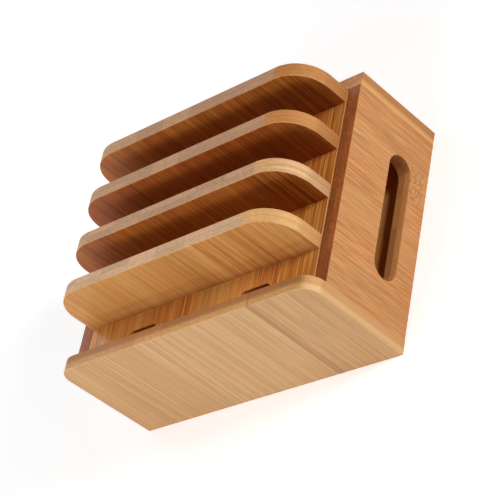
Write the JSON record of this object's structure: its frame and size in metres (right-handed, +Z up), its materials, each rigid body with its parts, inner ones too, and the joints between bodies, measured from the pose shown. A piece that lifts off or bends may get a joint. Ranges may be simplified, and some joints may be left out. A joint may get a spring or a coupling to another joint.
{
  "type": "charging station organizer",
  "caption": "Bamboo desktop charging station: a box for a charger under a lift-off deck with upright dividers, with cable slots in the deck and in the side panels.",
  "frame": {"origin": "middle of the footprint, on the surface that the box stands on", "axes": "+X to the right along the front panel, +Y from the front panel to the back panel, +Z up"},
  "size_m": [0.25, 0.1886, 0.1279],
  "materials": {
    "front_bamboo": "satin clear lacquer, upright grain",
    "wall_bamboo": "satin clear lacquer, upright grain",
    "floor_bamboo": "satin clear lacquer",
    "ledge_wood": "sanded",
    "dowel_wood": "sanded",
    "screw_steel": "zinc plated",
    "deck_bamboo": "satin clear lacquer, grain from front to back",
    "divider_bamboo": "satin clear lacquer, upright grain"
  },
  "bodies": {
    "box": {"front_panel": "front_bamboo", "back_panel": "wall_bamboo", "left_side_panel": "wall_bamboo", "right_side_panel": "wall_bamboo", "bottom_panel": "floor_bamboo", "left_ledge": "ledge_wood", "right_ledge": "ledge_wood", "corner_dowels": "dowel_wood", "ledge_screws": "screw_steel"},
    "deck": {"deck_board": "deck_bamboo", "front_divider": "divider_bamboo", "second_divider": "divider_bamboo", "third_divider": "divider_bamboo", "rear_divider": "divider_bamboo", "divider_screws": "screw_steel"}
  },
  "joints": [
    {"name": "deck_lift", "type": "slide", "parent": "box", "child": "deck", "axis": [0, 0, 1], "range_m": [0, 0.06]}
  ]
}
